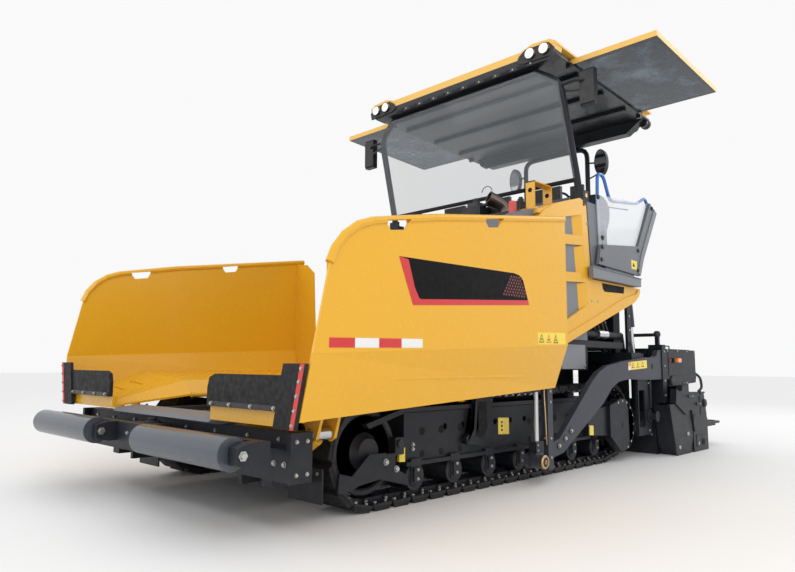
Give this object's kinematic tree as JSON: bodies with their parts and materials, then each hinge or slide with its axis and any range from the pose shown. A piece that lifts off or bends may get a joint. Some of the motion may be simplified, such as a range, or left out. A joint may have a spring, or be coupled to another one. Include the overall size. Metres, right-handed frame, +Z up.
{
  "type": "asphalt paver",
  "caption": "Tracked asphalt paver: front hopper with folding wings, operator platform under a canopy, rear augers and floating screed.",
  "frame": {"origin": "on the ground under the centre of the bounding box", "axes": "+Z up, +X towards the machine's left side, the hopper faces -Y and the screed is at +Y"},
  "size_m": [3.986, 6.708, 3.884],
  "materials": {
    "yellow_paint": "gloss",
    "dark_paint": "satin",
    "grey_paint": "satin",
    "light_grey_paint": "satin",
    "blue_paint": "gloss",
    "track_steel": "satin",
    "bright_steel": "polished",
    "rubber": "matte",
    "glass": "clear",
    "seat_cover": "matte",
    "cast_iron": "matte"
  },
  "bodies": {
    "tractor": {"left_track": "track_steel", "right_track": "track_steel", "left_track_frame": "dark_paint", "right_track_frame": "dark_paint", "left_final_drive": "dark_paint", "right_final_drive": "dark_paint", "main_frame": "dark_paint", "engine": "cast_iron", "front_beam": "dark_paint", "hopper_apron": "grey_paint", "conveyor_floor": "bright_steel", "hopper_rear_wall": "yellow_paint", "engine_hood": "grey_paint", "left_side_panel": "yellow_paint", "right_side_panel": "yellow_paint", "exhaust_pipe": "bright_steel", "operator_platform": "grey_paint", "operator_console": "grey_paint", "left_seat": "seat_cover", "right_seat": "seat_cover", "left_side_guard": "grey_paint", "right_side_guard": "grey_paint", "left_guard_glass": "glass", "right_guard_glass": "glass", "left_handrail": "blue_paint", "right_handrail": "blue_paint", "canopy_roof": "dark_paint", "windscreen_frame": "dark_paint", "windscreen_glass": "glass", "rear_hoop": "dark_paint", "left_tow_post": "light_grey_paint", "right_tow_post": "light_grey_paint"},
    "push_bar": {"push_bar": "dark_paint"},
    "left_push_roller": {"left_push_roller": "light_grey_paint"},
    "right_push_roller": {"right_push_roller": "light_grey_paint"},
    "left_hopper_wing": {"left_hopper_wing": "yellow_paint", "left_wing_flap": "rubber"},
    "right_hopper_wing": {"right_hopper_wing": "yellow_paint", "right_wing_flap": "rubber"},
    "left_wing_cylinder": {"left_wing_cylinder": "yellow_paint"},
    "right_wing_cylinder": {"right_wing_cylinder": "yellow_paint"},
    "left_wing_rod": {"left_wing_rod": "bright_steel"},
    "right_wing_rod": {"right_wing_rod": "bright_steel"},
    "left_canopy_extension": {"left_canopy_extension": "yellow_paint"},
    "right_canopy_extension": {"right_canopy_extension": "yellow_paint"},
    "tow_points": {"left_tow_point": "light_grey_paint", "right_tow_point": "light_grey_paint"},
    "screed": {"screed_frame": "dark_paint", "left_tow_arm": "light_grey_paint", "right_tow_arm": "light_grey_paint"},
    "left_screed_extension": {"left_screed_extension": "dark_paint"},
    "right_screed_extension": {"right_screed_extension": "dark_paint"},
    "left_lift_cylinder": {"left_lift_cylinder": "light_grey_paint"},
    "right_lift_cylinder": {"right_lift_cylinder": "light_grey_paint"},
    "left_lift_rod": {"left_lift_rod": "bright_steel"},
    "right_lift_rod": {"right_lift_rod": "bright_steel"},
    "left_auger": {"left_auger": "track_steel"},
    "right_auger": {"right_auger": "track_steel"}
  },
  "joints": [
    {"name": "push_bar_swing", "type": "hinge", "parent": "tractor", "child": "push_bar", "pos_m": [0, -3.05, 0.395], "axis": [0, 0, 1], "range_deg": [-3, 3]},
    {"name": "left_push_roller_spin", "type": "hinge", "parent": "push_bar", "child": "left_push_roller", "pos_m": [0.824, -3.269, 0.461], "axis": [1, 0, 0], "continuous": true},
    {"name": "left_wing_fold", "type": "hinge", "parent": "tractor", "child": "left_hopper_wing", "pos_m": [0.7, 0, 0.655], "axis": [0, -1, 0], "range_deg": [0, 50]},
    {"name": "left_wing_cylinder_swing", "type": "hinge", "parent": "tractor", "child": "left_wing_cylinder", "pos_m": [0.8, -2.66, 0.245], "axis": [0, -1, 0], "range_deg": [0, 33.09]},
    {"name": "left_wing_rod_slide", "type": "slide", "parent": "left_wing_cylinder", "child": "left_wing_rod", "axis": [0.8575, 0, 0.5145], "range_m": [0, 0.2997]},
    {"name": "left_canopy_slide", "type": "slide", "parent": "tractor", "child": "left_canopy_extension", "axis": [-1, 0, 0], "range_m": [0, 0.75]},
    {"name": "right_push_roller_spin", "type": "hinge", "parent": "push_bar", "child": "right_push_roller", "pos_m": [-0.824, -3.269, 0.461], "axis": [1, 0, 0], "continuous": true},
    {"name": "right_wing_fold", "type": "hinge", "parent": "tractor", "child": "right_hopper_wing", "pos_m": [-0.7, 0, 0.655], "axis": [0, 1, 0], "range_deg": [0, 50]},
    {"name": "right_wing_cylinder_swing", "type": "hinge", "parent": "tractor", "child": "right_wing_cylinder", "pos_m": [-0.8, -2.66, 0.245], "axis": [0, 1, 0], "range_deg": [0, 33.09]},
    {"name": "right_wing_rod_slide", "type": "slide", "parent": "right_wing_cylinder", "child": "right_wing_rod", "axis": [-0.8575, 0, 0.5145], "range_m": [0, 0.2997]},
    {"name": "right_canopy_slide", "type": "slide", "parent": "tractor", "child": "right_canopy_extension", "axis": [1, 0, 0], "range_m": [0, 0.75]},
    {"name": "tow_point_lift", "type": "slide", "parent": "tractor", "child": "tow_points", "axis": [0, 0, 1], "range_m": [0, 0.2]},
    {"name": "screed_lift", "type": "hinge", "parent": "tow_points", "child": "screed", "pos_m": [0, -0.663, 0.181], "axis": [1, 0, 0], "range_deg": [0, 6.5]},
    {"name": "left_screed_extension_slide", "type": "slide", "parent": "screed", "child": "left_screed_extension", "axis": [1, 0, 0], "range_m": [0, 1.15]},
    {"name": "left_lift_cylinder_swing", "type": "hinge", "parent": "tractor", "child": "left_lift_cylinder", "pos_m": [1.1, 1.474, 1.98], "axis": [1, 0, 0], "range_deg": [-4.77, 0]},
    {"name": "left_lift_rod_slide", "type": "slide", "parent": "left_lift_cylinder", "child": "left_lift_rod", "axis": [0, -0.1565, 0.9877], "range_m": [0, 0.2655]},
    {"name": "left_auger_spin", "type": "hinge", "parent": "tractor", "child": "left_auger", "pos_m": [0.09, 1.56, 0.4], "axis": [1, 0, 0], "continuous": true},
    {"name": "right_screed_extension_slide", "type": "slide", "parent": "screed", "child": "right_screed_extension", "axis": [-1, 0, 0], "range_m": [0, 1.15]},
    {"name": "right_lift_cylinder_swing", "type": "hinge", "parent": "tractor", "child": "right_lift_cylinder", "pos_m": [-1.1, 1.474, 1.98], "axis": [1, 0, 0], "range_deg": [-4.77, 0]},
    {"name": "right_lift_rod_slide", "type": "slide", "parent": "right_lift_cylinder", "child": "right_lift_rod", "axis": [0, -0.1565, 0.9877], "range_m": [0, 0.2655]},
    {"name": "right_auger_spin", "type": "hinge", "parent": "tractor", "child": "right_auger", "pos_m": [-0.09, 1.56, 0.4], "axis": [1, 0, 0], "continuous": true}
  ],
  "couplings": [
    {"joint": "left_wing_cylinder_swing", "follows": "left_wing_fold", "ratio": 0.66171},
    {"joint": "left_wing_rod_slide", "follows": "left_wing_fold", "m_per_rad": 0.34339},
    {"joint": "right_wing_cylinder_swing", "follows": "right_wing_fold", "ratio": 0.66171},
    {"joint": "right_wing_rod_slide", "follows": "right_wing_fold", "m_per_rad": 0.34339},
    {"joint": "left_lift_cylinder_swing", "follows": "screed_lift", "ratio": -0.73326},
    {"joint": "left_lift_rod_slide", "follows": "screed_lift", "m_per_rad": 2.3401},
    {"joint": "right_lift_cylinder_swing", "follows": "screed_lift", "ratio": -0.73326},
    {"joint": "right_lift_rod_slide", "follows": "screed_lift", "m_per_rad": 2.3401}
  ]
}
